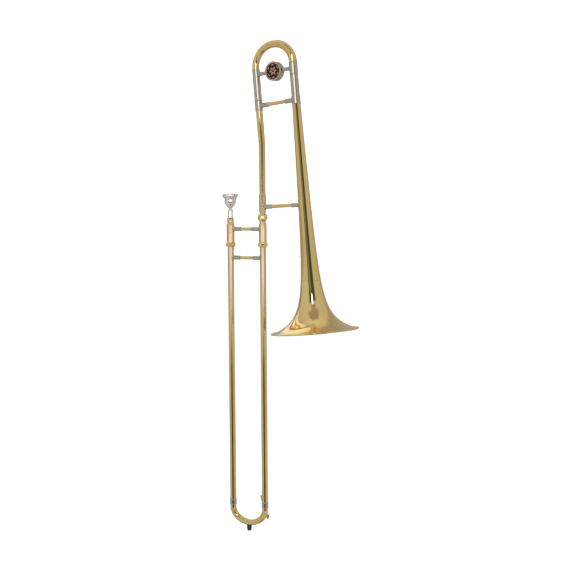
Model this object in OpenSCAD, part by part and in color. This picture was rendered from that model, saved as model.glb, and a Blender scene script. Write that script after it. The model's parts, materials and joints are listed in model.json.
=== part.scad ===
// Straight tenor trombone, held upright with its hand slide almost closed.
// The hand slide lies in the XZ plane, +Z up. The origin is the middle of the hand-grip brace.
// The bell section stands on the +X slide tube and is turned about that tube's axis.
// "s" is a height measured along the leaning tubes of the bell section, from the bend in its neck.

/* [Hand slide] */
// Distance between the two slide tubes, centre to centre
slide_gap = 85; // [80:1:92]
// Bore of the inner slide tubes
bore_d = 12.7; // [12:0.1:13]
// Outer diameter of the outer slide tubes
outer_tube_d = 14.6; // [14.6:0.1:15]
// Height of the ends of the slide bow, below the grip brace
bow_end_z = -661; // [-680:1:-600]
// Radius of the slide bow's two corners
bow_corner_r = 32; // [30:1:36]
// Height of the outer slide's brace
outer_brace_z = -67.5; // [-90:0.5:-62]
// Height of the middle of the rounded beads under the cork barrels
bead_z = -36.5; // [-37:0.5:-36]
// Radius of the cork barrels
barrel_r = 9.3; // [9.2:0.1:9.4]
// Height of the top of the cork barrels
barrel_top = 13; // [13:0.5:14]

/* [Hand grip] */
// Diameter of the brass tube of each slide brace
grip_d = 8; // [7.5:0.1:8.5]
// Length of the brass tube that shows between the grip brace's sockets
grip_length = 28; // [20:1:34]

/* [Bell section] */
// Diameter of the bell's rim
rim_d = 203.2; // [190:0.1:216]
// Angle that the bell section is turned from the slide's plane
bell_turn = 8.7; // [0:0.1:12]
// Angle that the tubes above the neck's bend lean towards the mouthpiece
lean = 5.2; // [4:0.1:6]
// Height of the neck's bend
bend_z = 196; // [190:1:210]
// Distance between the two legs of the tuning slide, centre to centre
leg_gap = 104; // [100:1:108]
// Height s of the bell's rim
rim_s = -439; // [-460:1:-430]
// Height s where the tuning crook meets its ferrules
crook_s = 174.6; // [172:0.1:180]
// Height of the tuning crook's arch, to the middle of its tube
crook_rise = 49; // [46:0.5:54]

/* [Weight] */
// Diameter of the counterweight
weight_d = 44; // [40:1:48]
// Thickness of the counterweight
weight_t = 15.6; // [12:0.1:18]

/* [Hidden] */
$fn = 72;

brass = "#c9a14a";
nickel = "#a39a86";
silver = "#d6d6d4";
cork = "#8a5a34";
past = 1; // how far a cutting shape runs past the face it cuts

// Slide tubes
mouth_x = -slide_gap / 2;
bell_x = slide_gap / 2;
inner_r = bore_d / 2 + 0.3;
outer_r = outer_tube_d / 2;
outer_bore = outer_r - 0.4;
stocking_r = outer_bore - 0.08;
barrel_bore = outer_r + 0.65;
inner_end_z = bow_end_z + 21;
stocking_length = 100;
cork_top = -4;
cork_bottom = -12;
slide_play = 8; // gap between the outer slide and the corks, which the slide closes to lock
outer_top = cork_bottom - slide_play;
ferrule_length = 13.5;
ferrule_r = outer_r + 0.6;
ferrule_bead_z = bow_end_z + 1; // the lower of a bow ferrule's two beads

// Slide bow: two straight ends, two corners and a flatter bottom
bow_corner_angle = 55;
bow_lead = 4.7; // straight length at each end
bow_seam = 0.02; // degrees
bow_corner_x = slide_gap / 2 - bow_corner_r;
bow_corner_z = bow_end_z - bow_lead;
bow_bottom_r = bow_corner_r + bow_corner_x / cos(bow_corner_angle);
bow_bottom_z = bow_corner_z + bow_corner_x * tan(bow_corner_angle);
bow_bottom = bow_bottom_z - bow_bottom_r - outer_r;
stud_r = 3;

// Rounded bead: an ellipse swept round the tube
bead_core = 8;
bead_bulge = 3.4;
bead_half = 6.4;
ring_bore = barrel_r + 0.06;

// Lock pin and the slots that it enters
pin_r = 1.2;
pin_z = -47.5;
pin_slot = 3;
pin_locked_z = pin_z + slide_play;
lock_turn = 35;

// Braces
spigot_r = 3;
spigot_length = 4;
socket_r = grip_d / 2 + 1.1;
grip_socket = slide_gap / 2 - barrel_r - grip_length / 2;
outer_socket = 19;

// Mouthpiece
shank_end_z = 2;
shank_top_z = 45;
cup_top_z = 83;
receiver_top = 27;
shank_r0 = 5.2;
shank_r1 = 5.85;

// Joint between the slide and the bell section
thread_r = 6.55;
thread_top = 29;
tenon_r0 = 5.35;
tenon_r1 = 5.8;
tenon_play = 0.05;
nut_z = 27.6;
nut_r = 11.5;
nut_skirt_r = 7.1;

// Neck of the bell section
neck_r0 = 7.2;
neck_r1 = 7.6;
neck_r2 = 7.9;
neck_wall = 0.6;
neck_bend_r = 80;
bend_half = neck_bend_r * tan(lean / 2);
neck_top = 78;
sleeve_z0 = 42.5;
sleeve_z1 = 83;
sleeve_r = 8.25;

// Tuning slide, heights s
crook_r0 = 7.95;
crook_r1 = 9.2;
crook_wall = 0.6;
crook_sleeve_r = 8.6;
crook_sleeve_s = 99.9;
neck_leg_r = 7.94;
crook_leg_r = 9.05;
bell_sleeve_r = 9.75;
bell_sleeve_s = 147.6;
leg_play = 0.06;
stem_s = 83; // where the bell's stem ends, inside its ferrule
ferrule_s0 = 78.5;
ferrule_s1 = 97.8;
bell_ferrule_r = 10.4;
neck_ferrule_r = 8.8;
upper_brace_s = 89;
upper_socket = 20;
weight_s = 161;
weight_r = weight_d / 2;

// Bell profile: a straight taper plus a flare, by distance t from the rim
bell_length = stem_s - rim_s;
bell_wall = 0.6;
stem_r = 17.8;
stem_taper = 0.0166;
flare_length = 62;
flare_power = 2.275;
rim_wire_r = 1.5;
rim_start = 1;
function flare(t) = (rim_d / 2 - stem_r) * pow(1 + t / flare_length, -flare_power);
function bell_r(t) = stem_r - stem_taper * t + flare(t);
function bell_slope(t) = -stem_taper - flare(t) * flare_power / (flare_length + t);
function bell_t(i, steps) = rim_start + (bell_length - rim_start) * pow(i / steps, 2);

// Lower brace: from the neck's axis to a point on the bell's axis
lower_brace_z = 51.5;
lower_brace_s = -149;
lower_socket = 20;
flange_half = 24;
flange_t = 0.9;
brace_dx = leg_gap * cos(lean) - lower_brace_s * sin(lean);
brace_dz = bend_z - lower_brace_z + lower_brace_s * cos(lean) + leg_gap * sin(lean);
brace_angle = atan2(brace_dz, brace_dx);
brace_length = norm([brace_dx, brace_dz]);

// Water key: nipple direction, pivot and the line of the lever
key_angle = -29; // place round the bow's corner, from its bell-side end
key_polar = 109;
key_azimuth = 45;
nipple_top = 9.2;
pivot = [bell_x - 2.8, 11.6, bow_end_z + 2];
touch = [bell_x - 15, 9.5, bow_end_z + 22];
screw_r = 1;

// A tube round the Z axis between two heights
module pipe(r_out, r_in, z0, z1) {
    translate([0, 0, z0]) difference() {
        cylinder(r = r_out, h = z1 - z0);
        translate([0, 0, -past]) cylinder(r = r_in, h = z1 - z0 + 2 * past);
    }
}

// A tapering rod round the Z axis between two heights
module cone(r0, r1, z0, z1) {
    translate([0, 0, z0]) cylinder(r1 = r0, r2 = r1, h = z1 - z0);
}

module on_mouthpiece_side() {
    translate([mouth_x, 0, 0]) children();
}

module on_bell_side() {
    translate([bell_x, 0, 0]) children();
}

// The bell section's own frame: X runs from the neck towards the bell
module in_bell_section() {
    on_bell_side() rotate([0, 0, -bell_turn]) children();
}

// The leaning frame above the bend: Z is the height s
module leaning() {
    in_bell_section() translate([0, 0, bend_z]) rotate([0, -lean, 0]) children();
}

module on_bell_leg() {
    leaning() translate([leg_gap, 0, 0]) children();
}

// A small half-round ring round a tube of radius r
module bead_ring(r, z, wire) {
    rotate_extrude() translate([r, z]) intersection() {
        circle(r = wire, $fn = 24);
        translate([0, -wire]) square([wire, 2 * wire]);
    }
}

// One socket of a brace along X, from the axis of the tube it stands on
module socket(tube_r, length, r) {
    rotate([0, 90, 0]) rotate_extrude() polygon([
        [0, tube_r * 0.5],
        [r + 0.7, tube_r * 0.5],
        [r + 0.7, tube_r + 1],
        [r, tube_r + 2.2],
        [r, tube_r + length - 1.4],
        [r - 0.8, tube_r + length],
        [spigot_r, tube_r + length],
        [spigot_r, tube_r + length - spigot_length],
        [0, tube_r + length - spigot_length]
    ]);
}

// A socket whose foot is cut to sit on a straight tube
module seated_socket(tube_r, length, r) {
    difference() {
        socket(tube_r, length, r);
        cylinder(r = tube_r, h = 4 * tube_r, center = true);
    }
}

// The brass tube of a brace along X, with a thinner spigot at each end
module brace_rod(x0, x1, r) {
    translate([x0, 0, 0]) rotate([0, 90, 0]) cylinder(r = r, h = x1 - x0);
    translate([x0 - spigot_length, 0, 0]) rotate([0, 90, 0])
        cylinder(r = spigot_r, h = x1 - x0 + 2 * spigot_length);
}

// ---------- Mouthpiece and inner slide ----------

module mouthpiece() {
    color(silver) on_mouthpiece_side() difference() {
        rotate_extrude() polygon(concat(
            [[0, shank_end_z], [shank_r0, shank_end_z], [shank_r1, shank_top_z - 1],
                [shank_r1 - 0.5, shank_top_z], [4.3, shank_top_z + 4]],
            [for (a = [8 : 9 : 80]) [4.3 + 9 * sin(a), shank_top_z + 19 - 14 * cos(a)]],
            [[13.3, 66], [13.4, 72], [15.2, 75.5]],
            [for (a = [-50 : 20 : 90]) [16.6 + 2 * cos(a), cup_top_z - 4 + 4 * sin(a)]],
            [[14, cup_top_z], [0, cup_top_z]]
        ));
        rotate_extrude() polygon(concat(
            [[0, shank_end_z - past], [4.7, shank_end_z - past], [3.2, shank_top_z + 6],
                [3.2, shank_top_z + 9]],
            [for (a = [20 : 10 : 90]) [3.2 + 9.3 * sin(a), 68 - 14 * cos(a)]],
            [[12.9, cup_top_z - 4], [14, cup_top_z - 1], [14.6, cup_top_z + past],
                [0, cup_top_z + past]]
        ));
    }
}

module mouthpiece_receiver() {
    play = 0.06;
    slope = (shank_r1 - shank_r0) / (shank_top_z - past - shank_end_z);
    bore0 = shank_r0 + play;
    color(brass) on_mouthpiece_side() difference() {
        union() {
            cone(bore_d / 2, bore_d / 2, shank_end_z, barrel_top);
            cone(7.9, 7.9, barrel_top, receiver_top - 1);
            cone(7.9, 7.3, receiver_top - 1, receiver_top);
            bead_ring(7.9, receiver_top - 4, 0.5);
        }
        cone(bore0 - slope * past, bore0 + slope * (receiver_top - shank_end_z + past),
            shank_end_z - past, receiver_top + past);
    }
}

module leadpipe() {
    color(brass) on_mouthpiece_side() pipe(bore_d / 2, 5.7, -178, shank_end_z - 0.5);
}

module inner_tube() {
    pipe(inner_r, bore_d / 2, inner_end_z, barrel_top);
}

module inner_tube_mouthpiece_side() {
    color(nickel) on_mouthpiece_side() inner_tube();
}

module inner_tube_bell_side() {
    color(nickel) on_bell_side() inner_tube();
}

module stocking() {
    pipe(stocking_r, inner_r, inner_end_z, inner_end_z + stocking_length);
}

module stockings() {
    color(nickel) {
        on_mouthpiece_side() stocking();
        on_bell_side() stocking();
    }
}

// The solid of revolution of one rounded bead
module bead_solid() {
    rotate_extrude() polygon(concat(
        [[0, bead_z - bead_half]],
        [for (a = [-90 : 10 : 90]) [bead_core + bead_bulge * cos(a), bead_z + bead_half * sin(a)]],
        [[0, bead_z + bead_half]]
    ));
}

module barrel_bores() {
    cone(barrel_bore, barrel_bore, bead_z - bead_half - past, cork_top);
    cone(inner_r, inner_r, cork_top - past, barrel_top + past);
}

// The way in for the lock pin, on the side that faces the other tube
module pin_way(top) {
    translate([0, -pin_slot / 2, bead_z - 2 * bead_half]) cube([2 * barrel_r, pin_slot,
        top - bead_z + 2 * bead_half]);
}

module cork_barrel_mouthpiece_side() {
    color(brass) on_mouthpiece_side() difference() {
        union() {
            cone(barrel_r, barrel_r, bead_z, barrel_top - 1);
            cone(barrel_r, barrel_r - 0.6, barrel_top - 1, barrel_top);
            intersection() {
                bead_solid();
                cone(barrel_r, barrel_r, bead_z - bead_half, bead_z);
            }
        }
        barrel_bores();
        pin_way(pin_locked_z + pin_slot / 2);
    }
}

module cork_barrel_bell_side() {
    color(brass) on_bell_side() difference() {
        union() {
            cone(barrel_r, barrel_r, bead_z, barrel_top - 1);
            cone(barrel_r, barrel_r - 0.6, barrel_top - 1, barrel_top);
            bead_solid();
        }
        barrel_bores();
    }
}

module cork_bumpers() {
    color(cork) {
        on_mouthpiece_side() pipe(barrel_bore, inner_r, cork_bottom, cork_top);
        on_bell_side() pipe(barrel_bore, inner_r, cork_bottom, cork_top);
    }
}

module grip_brace_tube() {
    color(brass) brace_rod(-grip_length / 2, grip_length / 2, grip_d / 2);
}

module grip_brace_sockets() {
    color(nickel) for (side = [0, 180]) rotate([0, 0, side]) on_mouthpiece_side()
        seated_socket(barrel_r, grip_socket, socket_r);
}

module bell_receiver() {
    tip = 16; // how far the socket reaches down inside the slide tube
    color(brass) on_bell_side() difference() {
        union() {
            cone(bore_d / 2, bore_d / 2, barrel_top - tip, barrel_top);
            cone(8, 8, barrel_top, barrel_top + 1.8);
            cone(thread_r, thread_r, barrel_top, thread_top);
        }
        cone(tenon_r0 + tenon_play, tenon_r1 + tenon_play, 0, thread_top + 0.01);
        cone(tenon_r0 - 0.6, tenon_r0 - 0.6, -20, past);
    }
}

module slide_lock_ring() {
    color(brass) on_mouthpiece_side() difference() {
        bead_solid();
        cone(ring_bore, ring_bore, bead_z - 2 * bead_half, bead_z + 2 * bead_half);
        pin_way(pin_locked_z);
        // the sideways leg of the slot, which holds the pin when the ring is turned
        rotate([0, 0, -lock_turn]) rotate_extrude(angle = lock_turn + 10)
            translate([bead_core, pin_locked_z - pin_slot / 2]) square([barrel_r, pin_slot]);
    }
}

// ---------- Outer slide ----------

module outer_tube() {
    pipe(outer_r, outer_bore, bow_end_z, outer_top);
}

module outer_tube_mouthpiece_side() {
    color(brass) on_mouthpiece_side() outer_tube();
}

module outer_tube_bell_side() {
    color(brass) on_bell_side() outer_tube();
}

module outer_end_ring() {
    pipe(outer_r + 0.3, outer_r, outer_top - 7, outer_top - 0.5);
}

module outer_end_rings() {
    color(nickel) {
        on_mouthpiece_side() outer_end_ring();
        on_bell_side() outer_end_ring();
    }
}

module outer_brace_tube() {
    half = slide_gap / 2 - outer_r - outer_socket;
    color(brass) translate([0, 0, outer_brace_z]) brace_rod(-half, half, grip_d / 2);
}

module outer_brace_sockets() {
    color(nickel) translate([0, 0, outer_brace_z]) for (side = [0, 180]) rotate([0, 0, side])
        on_mouthpiece_side() seated_socket(outer_r + 0.6, outer_socket - 0.6, socket_r - 0.2);
}

// Diamond plates between the outer tubes and the brace sockets
module outer_brace_flanges() {
    half_height = 8.5;
    half_width = 6.2;
    color(brass) translate([0, 0, outer_brace_z]) for (side = [0, 180]) rotate([0, 0, side])
        on_mouthpiece_side() intersection() {
            pipe(outer_r + 0.6, outer_r, -10, 10);
            rotate([90, 0, 90]) linear_extrude(20) polygon([
                [0, half_height], [half_width, 0], [0, -half_height], [-half_width, 0]
            ]);
        }
}

module bow_ferrule() {
    difference() {
        union() {
            cone(ferrule_r, ferrule_r, bow_end_z, bow_end_z + ferrule_length);
            bead_ring(ferrule_r, bow_end_z + ferrule_length - 1, 0.5);
            bead_ring(ferrule_r, ferrule_bead_z, 0.5);
        }
        cone(outer_r, outer_r, bow_end_z - past, bow_end_z + ferrule_length + past);
    }
}

module bow_ferrules() {
    color(nickel) {
        on_mouthpiece_side() bow_ferrule();
        on_bell_side() bow_ferrule();
    }
}

// A flat shape swept round an arc in the XZ plane, from an angle below +X
module arc_sweep(x, z, r, start, turn) {
    translate([x, 0, z]) rotate([-90, 0, 0]) rotate([0, 0, start])
        rotate_extrude(angle = turn, $fn = 96) translate([r, 0]) children();
}

// A flat shape swept along the whole bow, in five lengths with a fine seam between each two
module bow_sweep() {
    corner = bow_corner_angle - bow_seam;
    for (x = [mouth_x, bell_x])
        translate([x, 0, bow_corner_z + 0.01]) linear_extrude(bow_lead - 0.01) children();
    arc_sweep(bow_corner_x, bow_corner_z, bow_corner_r, 0, corner) children();
    arc_sweep(0, bow_bottom_z, bow_bottom_r, bow_corner_angle, 180 - 2 * bow_corner_angle) children();
    arc_sweep(-bow_corner_x, bow_corner_z, bow_corner_r, 180 - corner, corner) children();
}

module bow_solid() {
    bow_sweep() circle(r = outer_r, $fn = 48);
}

// The water key's own frame: Z points out of the nipple, from the middle of the bow's tube
module at_nipple() {
    translate([bow_corner_x + bow_corner_r * cos(key_angle), 0,
            bow_corner_z + bow_corner_r * sin(key_angle)])
        rotate([0, key_polar, key_azimuth]) children();
}

module slide_bow() {
    color(brass) difference() {
        bow_sweep() difference() {
            circle(r = outer_r, $fn = 48);
            circle(r = outer_bore, $fn = 48);
        }
        at_nipple() cylinder(r = 1.5, h = 2 * outer_r);
    }
}

module lock_pin() {
    color(brass) on_mouthpiece_side() difference() {
        translate([0, 0, pin_z]) rotate([0, 90, 0]) cylinder(r = pin_r, h = outer_r + 3.4, $fn = 32);
        cylinder(r = outer_r, h = 200, center = true);
    }
}

module bumper_stud() {
    color(nickel) difference() {
        cone(stud_r, stud_r, bow_bottom - 5, bow_bottom + 3);
        bow_solid();
    }
}

// Its top is hollowed to sit on the bow
module rubber_bumper() {
    top = bow_bottom + 1.4;
    neck = bow_bottom - 0.8;
    color("#2b2a28") difference() {
        rotate_extrude() polygon(concat(
            [[0, top], [6, top], [6, neck - 2], [5.5, neck - 7.5]],
            [for (a = [0 : 15 : 90]) [2 + 3.5 * cos(a), neck - 9 - 3.5 * sin(a)]],
            [[0, neck - 12.5]]
        ));
        cone(stud_r, stud_r, bow_bottom - 5, bow_bottom + 3);
        bow_solid();
    }
}

// ---------- Water key ----------

module key_barrel(r, x0, x1) {
    translate([pivot[0] + x0, pivot[1], pivot[2]]) rotate([0, 90, 0])
        cylinder(r = r, h = x1 - x0, $fn = 32);
}

module water_key_saddle() {
    lug = 1.2;
    color(nickel) difference() {
        union() {
            intersection() {
                on_bell_side() pipe(ferrule_r + 1, ferrule_r, pivot[2] - 4.5, pivot[2] + 4.5);
                translate([pivot[0] - 5, 0, pivot[2] - 5]) cube([12, 20, 10]);
            }
            for (x = [-3.6, 2.4]) {
                translate([pivot[0] + x, 4, pivot[2] - 2.2]) cube([lug, pivot[1] - 4, 4.4]);
                key_barrel(2.2, x, x + lug);
            }
        }
        on_bell_side() {
            cone(ferrule_r, ferrule_r, pivot[2] - 10, pivot[2] + 10);
            cone(ferrule_r + 0.6, ferrule_r + 0.6, ferrule_bead_z - 0.6, ferrule_bead_z + 0.6);
        }
        key_barrel(screw_r, -10, 10);
    }
}

module water_key_screw() {
    color("#8d8d8d") {
        key_barrel(screw_r, -3.6, 3.9);
        key_barrel(1.9, -4.8, -3.6);
    }
}

// Separate coils and two straight legs beside them
module water_key_spring() {
    wire = 0.28;
    coil_r = 1.7;
    pitch = 0.6;
    leg_y = pivot[1] - coil_r - 2.1 * wire;
    color("#6f6f6f") {
        for (turn = [0 : 2]) translate([pivot[0] + 0.65 + turn * pitch, pivot[1], pivot[2]])
            rotate([0, 90, 0]) rotate_extrude() translate([coil_r, 0]) circle(r = wire, $fn = 16);
        for (end = [0, 1]) translate([pivot[0] + 0.65 + end * 2 * pitch, leg_y, pivot[2] - 4 + 4 * end])
            cylinder(r = wire, h = 4, $fn = 16);
    }
}

module water_key_nipple() {
    color(brass) difference() {
        at_nipple() pipe(2.6, 1.5, outer_bore - 1, nipple_top);
        bow_solid();
    }
}

module water_key_cork() {
    color(cork) at_nipple() cone(3.9, 3.9, nipple_top, nipple_top + 2.6);
}

// The touch arm, the pad end and the hub that turns on the screw
module water_key_lever() {
    wire = 1.2;
    shoulder = pivot + [-1, 3.6, 0.8];
    elbow = [bell_x - 13.5, 12.2, bow_end_z + 11];
    knee = [bell_x - 4, 14.2, bow_end_z - 13];
    color(nickel) difference() {
        union() {
            key_barrel(2.4, -2.2, 0.3);
            hull() {
                translate(pivot + [-1, 1.5, 0]) sphere(r = wire, $fn = 20);
                translate(shoulder) sphere(r = wire, $fn = 20);
            }
            hull() {
                translate(shoulder) sphere(r = wire, $fn = 20);
                translate(elbow) sphere(r = wire, $fn = 20);
            }
            hull() {
                translate(elbow) sphere(r = wire, $fn = 20);
                translate(touch) sphere(r = wire, $fn = 20);
            }
            hull() {
                translate(touch + [0, 0, 2]) rotate([90, 0, -20]) cylinder(r = 2.8, h = 1.6, $fn = 24);
                translate(touch + [1, 0, -2]) rotate([90, 0, -20]) cylinder(r = 1.6, h = 1.6, $fn = 24);
            }
            hull() {
                translate(shoulder) sphere(r = wire, $fn = 20);
                translate(knee) sphere(r = wire, $fn = 20);
            }
            hull() {
                translate(knee) sphere(r = wire, $fn = 20);
                at_nipple() translate([0, 0, nipple_top + 4.2]) sphere(r = wire, $fn = 20);
            }
            at_nipple() cone(4.6, 4.6, nipple_top + 0.9, nipple_top + 3.4);
            at_nipple() cone(4.6, 2.4, nipple_top + 3.4, nipple_top + 4.6);
        }
        key_barrel(screw_r + 0.06, -10, 10);
        at_nipple() cone(3.9, 3.9, 0, nipple_top + 2.6);
    }
}

// ---------- Bell section ----------

module bell_lock_nut() {
    color(brass) on_bell_side() difference() {
        union() {
            cone(nut_skirt_r, nut_skirt_r, barrel_top + 2.4, nut_z);
            bead_ring(nut_skirt_r, barrel_top + 3.2, 0.6);
            intersection() {
                translate([0, 0, nut_z]) sphere(r = nut_r, $fn = 96);
                cone(nut_r + past, nut_r + past, nut_z - 8, nut_z + 7.2);
            }
        }
        cone(thread_r + 0.08, thread_r + 0.08, barrel_top, thread_top + 0.3);
        cone(8.9, 8.9, thread_top + 0.3, thread_top + 4.2);
        cone(neck_r0 + 0.5, neck_r0 + 0.5, thread_top, nut_z + 10);
    }
}

module bell_tenon() {
    color(nickel) on_bell_side() difference() {
        union() {
            cone(tenon_r0, tenon_r1, 1, thread_top);
            cone(tenon_r1, tenon_r1, thread_top, thread_top + 0.6);
            cone(8.5, 8.5, thread_top + 0.6, thread_top + 3.4);
        }
        cone(tenon_r0 - 0.7, tenon_r0 - 0.7, 0, thread_top + 4);
    }
}

module neckpipe() {
    bottom = thread_top + 3.4;
    bend_low = bend_z - bend_half;
    taper_z = 110;
    color(brass) in_bell_section() {
        rotate_extrude() polygon([
            [neck_r0, bottom], [neck_r0, taper_z], [neck_r1, bend_low],
            [neck_r1 - neck_wall, bend_low], [neck_r0 - neck_wall, taper_z],
            [neck_r0 - neck_wall, bottom]
        ]);
        translate([-neck_bend_r, 0, bend_low]) rotate([90, 0, 0])
            rotate_extrude(angle = lean, $fn = 96) translate([neck_bend_r, 0]) difference() {
                circle(r = neck_r1, $fn = 48);
                circle(r = neck_r1 - neck_wall, $fn = 48);
            }
        translate([0, 0, bend_z]) rotate([0, -lean, 0]) rotate_extrude() polygon([
            [neck_r1, bend_half], [neck_r2, neck_top],
            [neck_r2 - neck_wall, neck_top], [neck_r1 - neck_wall, bend_half]
        ]);
    }
}

module neckpipe_ring() {
    color(brass) in_bell_section() difference() {
        union() {
            cone(sleeve_r, sleeve_r, 39, 41.6);
            bead_ring(sleeve_r, 40.3, 0.6);
        }
        cone(neck_r0, neck_r0, 38, 43);
    }
}

module neckpipe_sleeve() {
    color(brass) in_bell_section() difference() {
        union() {
            cone(sleeve_r, sleeve_r, sleeve_z0, sleeve_z1 - 4);
            cone(sleeve_r, neck_r0 + 0.3, sleeve_z1 - 4, sleeve_z1);
        }
        cone(neck_r0, neck_r0, sleeve_z0 - past, sleeve_z1 + past);
    }
}

module neck_ferrule() {
    color(nickel) leaning() difference() {
        union() {
            cone(neck_ferrule_r, neck_ferrule_r, neck_top - 0.4, crook_sleeve_s - 0.4);
            bead_ring(neck_ferrule_r, neck_top + 0.8, 0.5);
        }
        cone(neck_leg_r, neck_leg_r, neck_top - past, crook_sleeve_s + past);
    }
}

module neck_slide_leg() {
    color(nickel) leaning() pipe(neck_leg_r, neck_leg_r - 0.5, neck_top, crook_s - 5);
}

module brace_to_bell() {
    in_bell_section() translate([0, 0, lower_brace_z]) rotate([0, -brace_angle, 0]) children();
}

// The bell's outer shape grown by "grow", between two distances from the rim
module bell_skin(grow, t0, t1, steps) {
    rotate_extrude($fn = 96) polygon(concat(
        [[0, rim_s + t0]],
        [for (i = [0 : steps]) let (t = t0 + (t1 - t0) * i / steps) [bell_r(t) + grow, rim_s + t]],
        [[0, rim_s + t1]]
    ));
}

flange_t0 = lower_brace_s - rim_s - flange_half - 6;
flange_t1 = lower_brace_s - rim_s + flange_half + 6;
flange_gap = 0.04;

module lower_brace_tube() {
    bell_end = bell_r(lower_brace_s - rim_s) + flange_gap + flange_t;
    color(brass) brace_to_bell()
        brace_rod(sleeve_r + lower_socket, brace_length - bell_end - lower_socket, grip_d / 2);
}

module lower_brace_sockets() {
    bell_end = bell_r(lower_brace_s - rim_s) + flange_gap + flange_t;
    color(nickel) {
        difference() {
            brace_to_bell() socket(sleeve_r, lower_socket, socket_r - 0.2);
            in_bell_section() cone(sleeve_r, sleeve_r, 30, 75);
        }
        difference() {
            brace_to_bell() translate([brace_length, 0, 0]) rotate([0, 0, 180])
                socket(bell_end, lower_socket, socket_r - 0.2);
            on_bell_leg() bell_skin(flange_gap + flange_t, flange_t0, flange_t1, 4);
        }
    }
}

// A tall diamond plate on the side of the bell that faces the neck
module bell_flange() {
    half_width = 8;
    color(brass) on_bell_leg() intersection() {
        difference() {
            bell_skin(flange_gap + flange_t, flange_t0, flange_t1, 4);
            bell_skin(flange_gap, flange_t0 - past, flange_t1 + past, 4);
        }
        translate([0, 0, lower_brace_s]) rotate([90, 0, -90]) linear_extrude(30) polygon([
            [0, flange_half], [half_width, 5], [half_width, -5],
            [0, -flange_half], [-half_width, -5], [-half_width, 5]
        ]);
    }
}

module upper_brace_tube() {
    color(brass) leaning() translate([0, 0, upper_brace_s])
        brace_rod(neck_ferrule_r + upper_socket, leg_gap - bell_ferrule_r - upper_socket,
            grip_d / 2 + 0.3);
}

module upper_brace_sockets() {
    color(nickel) leaning() translate([0, 0, upper_brace_s]) {
        seated_socket(neck_ferrule_r, upper_socket, socket_r + 0.3);
        translate([leg_gap, 0, 0]) rotate([0, 0, 180])
            seated_socket(bell_ferrule_r, upper_socket, socket_r + 0.3);
    }
}

module bell_ferrule() {
    color(nickel) on_bell_leg() difference() {
        union() {
            cone(bell_ferrule_r, bell_ferrule_r, ferrule_s0, ferrule_s1);
            bead_ring(bell_ferrule_r, ferrule_s0 + 1, 0.5);
        }
        cone(bell_sleeve_r, bell_sleeve_r, stem_s, ferrule_s1 + past);
        bell_skin(flange_gap, bell_length - 10, bell_length, 1);
    }
}

module bell_sleeve() {
    bore = crook_leg_r + leg_play;
    color(nickel) on_bell_leg() difference() {
        union() {
            cone(bell_sleeve_r, bell_sleeve_r, stem_s, bell_sleeve_s);
            bead_ring(bell_sleeve_r, bell_sleeve_s - 1, 0.9);
        }
        cone(bore, bore, stem_s - past, bell_sleeve_s + past);
    }
}

module bell() {
    steps = 30;
    outer = [for (i = [0 : steps]) let (t = bell_t(i, steps)) [bell_r(t), rim_s + t]];
    inner = [for (i = [steps : -1 : 0]) let (t = bell_t(i, steps), n = norm([1, bell_slope(t)]))
        [bell_r(t) - bell_wall / n, rim_s + (i == steps ? t : t + bell_wall * bell_slope(t) / n)]];
    color(brass) on_bell_leg() rotate_extrude($fn = 120) polygon(concat(outer, inner));
}

module bell_rim_wire() {
    color(brass) on_bell_leg() rotate_extrude($fn = 120)
        translate([rim_d / 2 - rim_wire_r, rim_s + rim_wire_r]) circle(r = rim_wire_r, $fn = 24);
}

// ---------- Tuning slide ----------

// A slightly flat arch whose tube widens from the neck side to the bell side
module crook_solid(inset, over) {
    rings = 20;
    sides = 32;
    half = leg_gap / 2;
    points = [
        for (i = [0 : rings])
            let (
                a = 180 + over - (180 + 2 * over) * i / rings,
                r = crook_r0 + (crook_r1 - crook_r0) * (180 - a) / 180 - inset,
                out = [crook_rise * cos(a), half * sin(a)] / norm([crook_rise * cos(a), half * sin(a)])
            )
                for (j = [0 : sides - 1])
                    let (b = 360 * j / sides)
                        [half + half * cos(a) + r * cos(b) * out[0], r * sin(b),
                            crook_s + crook_rise * sin(a) + r * cos(b) * out[1]]
    ];
    skin = [
        for (i = [0 : rings - 1])
            for (j = [0 : sides - 1])
                let (next = (j + 1) % sides)
                    [i * sides + j, i * sides + next, (i + 1) * sides + next, (i + 1) * sides + j]
    ];
    caps = [
        [for (j = [sides - 1 : -1 : 0]) j],
        [for (j = [0 : sides - 1]) rings * sides + j]
    ];
    polyhedron(points, concat(skin, caps));
}

module tuning_crook() {
    color(brass) leaning() difference() {
        crook_solid(0, 0);
        crook_solid(crook_wall, 1);
    }
}

module crook_sleeve() {
    bore = neck_leg_r + leg_play;
    color(nickel) leaning() difference() {
        union() {
            cone(crook_sleeve_r, crook_sleeve_r, crook_sleeve_s, crook_s);
            bead_ring(crook_sleeve_r, crook_sleeve_s + 1.2, 0.9);
        }
        cone(bore, bore, crook_sleeve_s - past, crook_s + past);
    }
}

module crook_ferrule() {
    color(nickel) on_bell_leg() difference() {
        union() {
            cone(10, 10, bell_sleeve_s + 0.3, crook_s);
            bead_ring(10, crook_s - 1, 0.5);
        }
        cone(crook_leg_r, crook_leg_r, bell_sleeve_s - past, crook_s + past);
    }
}

module crook_slide_leg() {
    color(nickel) on_bell_leg() pipe(crook_leg_r, crook_leg_r - 0.5, stem_s + 2, crook_s);
}

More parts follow.
